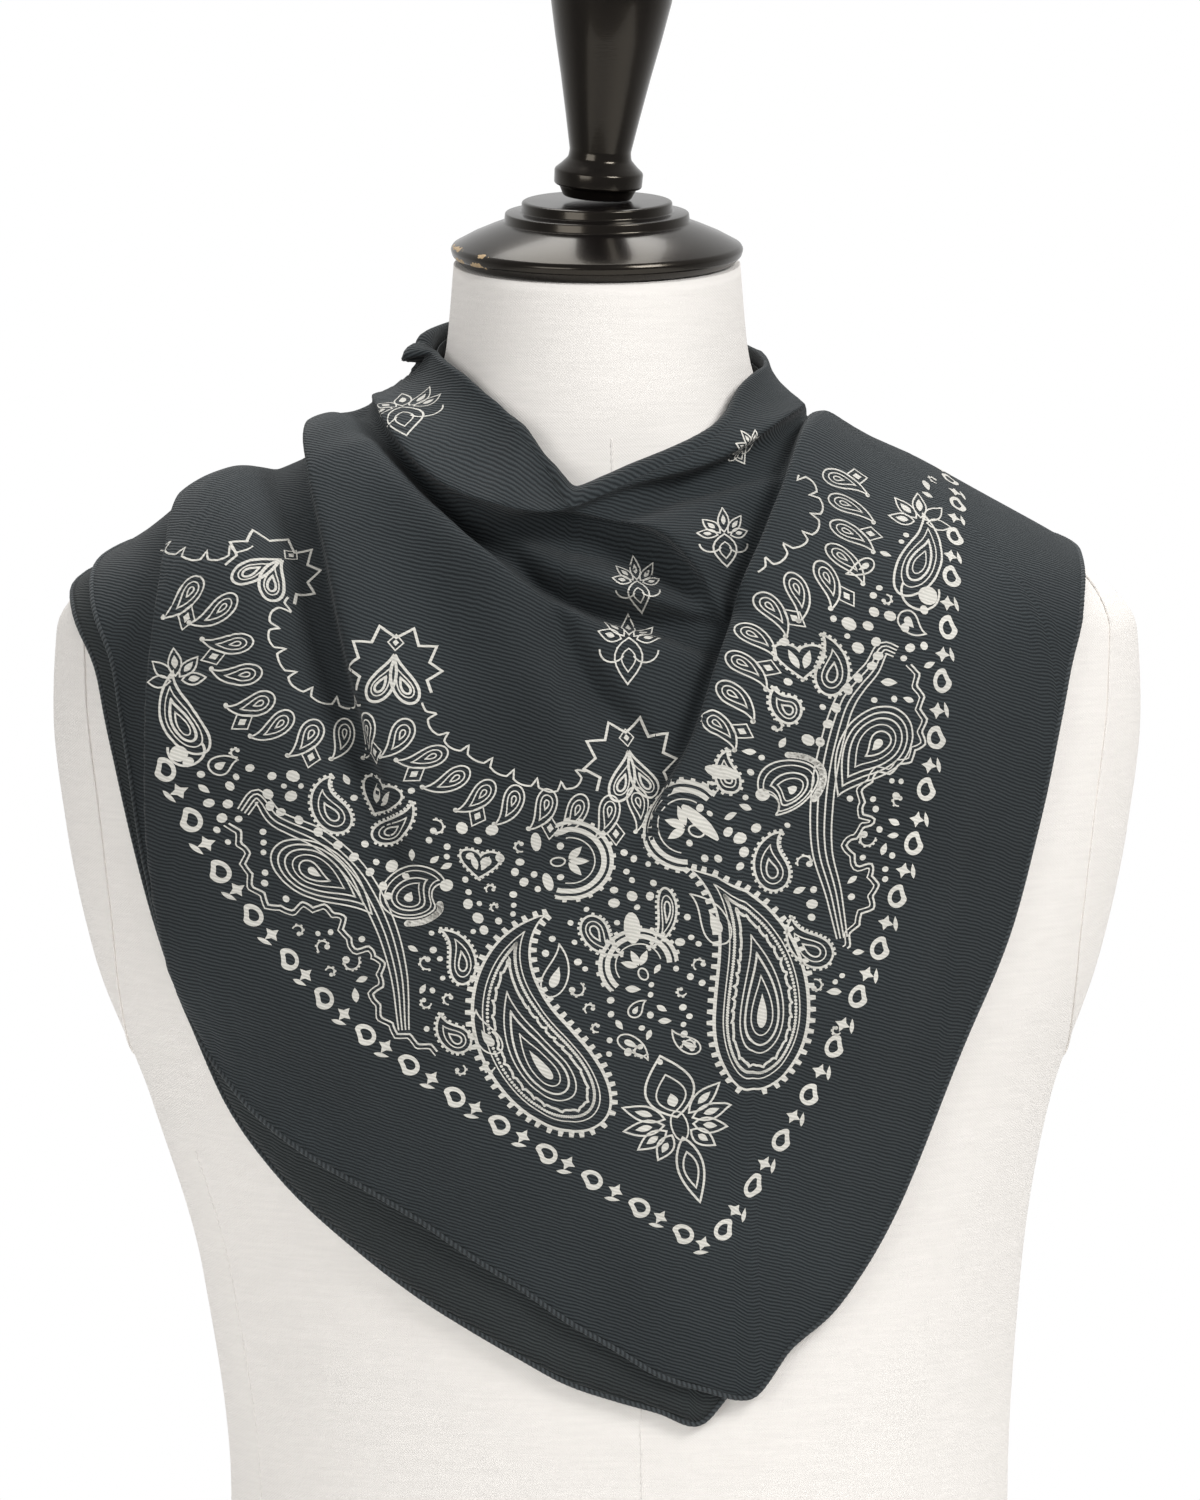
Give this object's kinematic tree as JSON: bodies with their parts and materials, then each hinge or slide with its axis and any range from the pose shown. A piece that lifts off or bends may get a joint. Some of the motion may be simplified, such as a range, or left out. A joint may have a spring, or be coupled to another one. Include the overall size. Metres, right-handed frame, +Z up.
{
  "type": "bandana on a dress form",
  "caption": "Square cotton paisley bandana folded to a triangle, worn round the neck of a limbless dress form and tied at the nape.",
  "frame": {"origin": "centre of the dress form's flat base", "axes": "+Z up the form, -Y to the front, +X to the viewer's right"},
  "size_m": [0.4334, 0.2596, 0.8731],
  "materials": {
    "printed_cotton": "dark green-grey cotton twill with an off-white paisley print",
    "plain_cotton": "wrong side of the same cotton twill, print showing through faintly",
    "linen": "warm white linen cover, stretched smooth",
    "lacquered_wood": "turned wood under glossy black lacquer, worn at the rims"
  },
  "bodies": {
    "root": {"form_body": "linen", "neck_cap": "lacquered_wood", "finial": "lacquered_wood", "front_layer": "printed_cotton", "left_end": "printed_cotton", "right_end": "printed_cotton", "under_layer": "plain_cotton", "knot": "printed_cotton", "left_tail": "printed_cotton", "right_tail": "printed_cotton"}
  },
  "joints": []
}
